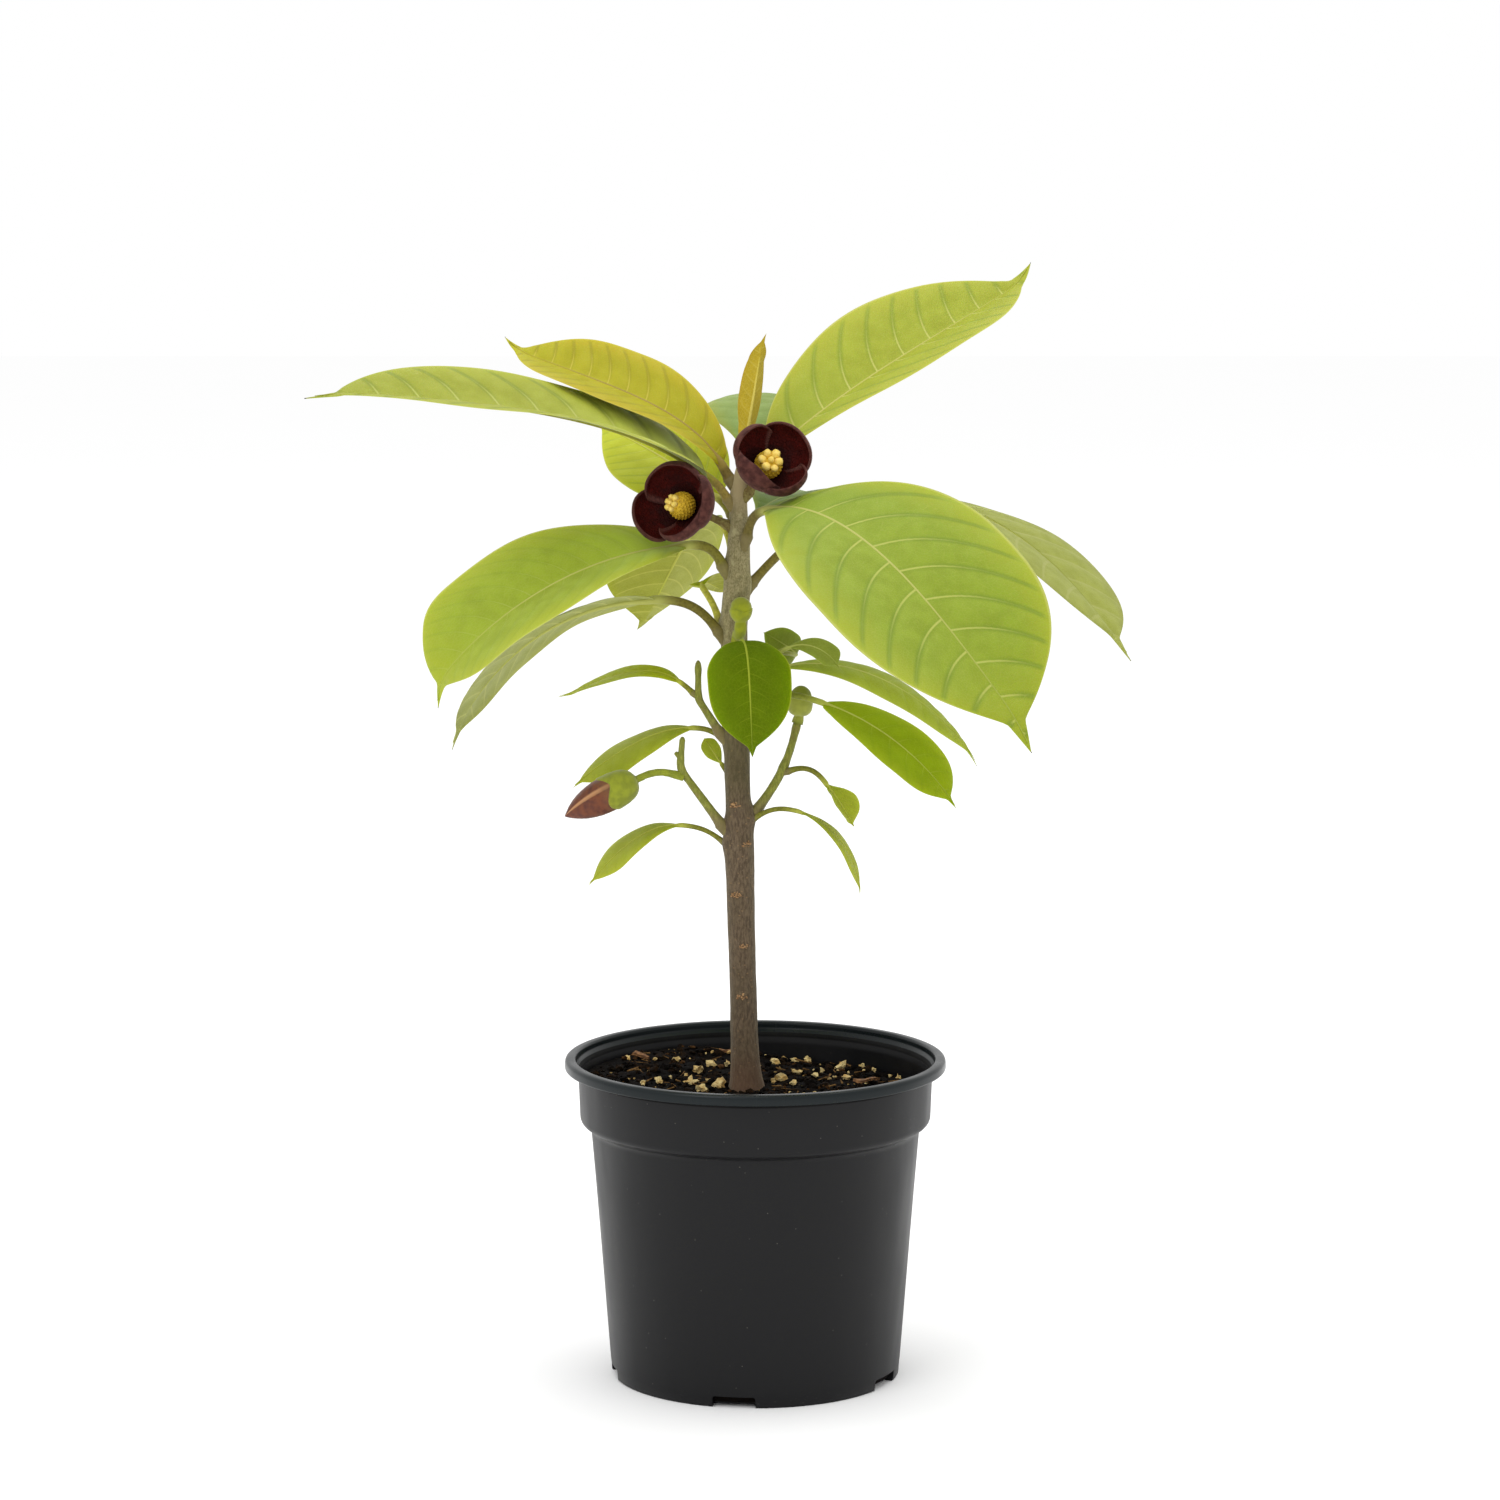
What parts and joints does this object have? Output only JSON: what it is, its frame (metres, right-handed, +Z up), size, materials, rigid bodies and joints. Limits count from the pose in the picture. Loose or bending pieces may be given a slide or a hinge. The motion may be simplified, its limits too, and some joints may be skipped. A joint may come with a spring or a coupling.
{
  "type": "potted pawpaw tree",
  "caption": "Young fruit tree in a round nursery pot: a slim stem with stalked drooping leaves, dark cup flowers and buds",
  "frame": {"origin": "centre of the pot's flat underside, where the pot stands", "axes": "+Z is up along the stem, +X to the right and -Y towards the viewer in the picture"},
  "size_m": [0.3663, 0.2673, 0.4939],
  "materials": {
    "pot_plastic": "satin",
    "compost": "coarse and matte",
    "bark": "matte bark",
    "green_bark": "smooth young bark",
    "leaf": "satin leaf",
    "young_leaf": "satin leaf",
    "petal": "velvety",
    "stamens": "matte",
    "bud": "matte"
  },
  "bodies": {
    "root": {"pot": "pot_plastic", "soil": "compost", "trunk": "bark", "twig_left_upper": "green_bark", "twig_left_lower": "green_bark", "twig_right": "green_bark", "leaf_top_left": "young_leaf", "leaf_spear": "young_leaf", "flower_upper": "petal", "flower_left": "petal", "flower_upper_centre": "stamens", "flower_left_centre": "stamens", "bud_left": "bud", "bud_right": "bud", "bud_front": "bud", "leaf_top_right": "leaf", "leaf_left_long": "leaf", "leaf_back_left": "leaf", "leaf_back_top": "leaf", "leaf_right_big": "leaf", "leaf_right_back": "leaf", "leaf_back_right": "leaf", "leaf_left_big": "leaf", "leaf_left_narrow": "leaf", "leaf_back_centre": "leaf", "leaf_back_small": "leaf", "leaf_front": "leaf", "leaf_curl_left": "leaf", "leaf_curl_right": "leaf", "leaf_right_upper": "leaf", "leaf_right_middle": "leaf", "leaf_right_small": "leaf", "leaf_right_lower": "leaf", "leaf_left_upper": "leaf", "leaf_left_middle": "leaf", "leaf_left_lower": "leaf", "leaf_back_bud": "leaf"}
  },
  "joints": []
}
